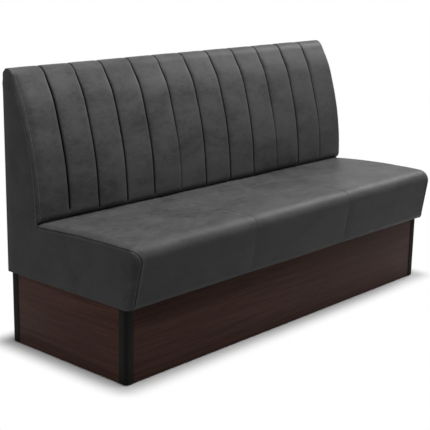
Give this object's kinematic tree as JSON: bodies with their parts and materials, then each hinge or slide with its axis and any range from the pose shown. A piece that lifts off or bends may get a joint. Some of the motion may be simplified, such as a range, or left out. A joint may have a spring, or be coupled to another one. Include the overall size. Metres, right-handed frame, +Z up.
{
  "type": "upholstered restaurant bench",
  "caption": "Fixed upholstered bench with a channelled back, a sewn seat cushion, L-shaped side covers and a dark board plinth with black corner posts.",
  "frame": {"origin": "on the floor, at the middle of the bench's length and of its depth", "axes": "+Z up, +X along the length to the sitter's left, the seat faces -Y"},
  "size_m": [1.8, 0.6899, 1.022],
  "materials": {
    "faux_leather": "anthracite faux leather, softly mottled, satin",
    "plinth_decor": "dark walnut decor, fine level grain, satin",
    "post_black": "matt black",
    "frame_wood": "raw pine and birch ply",
    "glide_plastic": "black plastic",
    "screw_steel": "zinc plated",
    "webbing_fabric": "woven elastic webbing",
    "dust_fabric": "black spunbond",
    "foam": "cut upholstery foam"
  },
  "bodies": {
    "root": {"seat_cover_left": "faux_leather", "seat_cover_middle": "faux_leather", "seat_cover_right": "faux_leather", "back_cover": "faux_leather", "side_cover_left": "faux_leather", "side_cover_right": "faux_leather", "rear_cover": "faux_leather", "plinth_panel_front": "plinth_decor", "plinth_panel_rear": "plinth_decor", "plinth_panel_left": "plinth_decor", "plinth_panel_right": "plinth_decor", "plinth_post_front_left": "post_black", "plinth_post_front_right": "post_black", "plinth_post_rear_left": "post_black", "plinth_post_rear_right": "post_black", "plinth_tongues": "frame_wood", "plinth_brace_left": "frame_wood", "plinth_brace_right": "frame_wood", "plinth_cleat_front": "frame_wood", "plinth_cleat_rear": "frame_wood", "seat_rail_front": "frame_wood", "seat_rail_rear": "frame_wood", "seat_rail_left_end": "frame_wood", "seat_rail_right_end": "frame_wood", "seat_cross_rail_left": "frame_wood", "seat_cross_rail_right": "frame_wood", "back_upright_left_end": "frame_wood", "back_upright_right_end": "frame_wood", "back_upright_left": "frame_wood", "back_upright_middle": "frame_wood", "back_upright_right": "frame_wood", "back_rail_bottom": "frame_wood", "back_rail_middle": "frame_wood", "back_rail_top": "frame_wood", "back_panel": "frame_wood", "plinth_glides": "glide_plastic", "base_screws": "screw_steel", "seat_webbing": "webbing_fabric", "dust_cover": "dust_fabric", "seat_foam": "foam", "back_foam": "foam"}
  },
  "joints": []
}
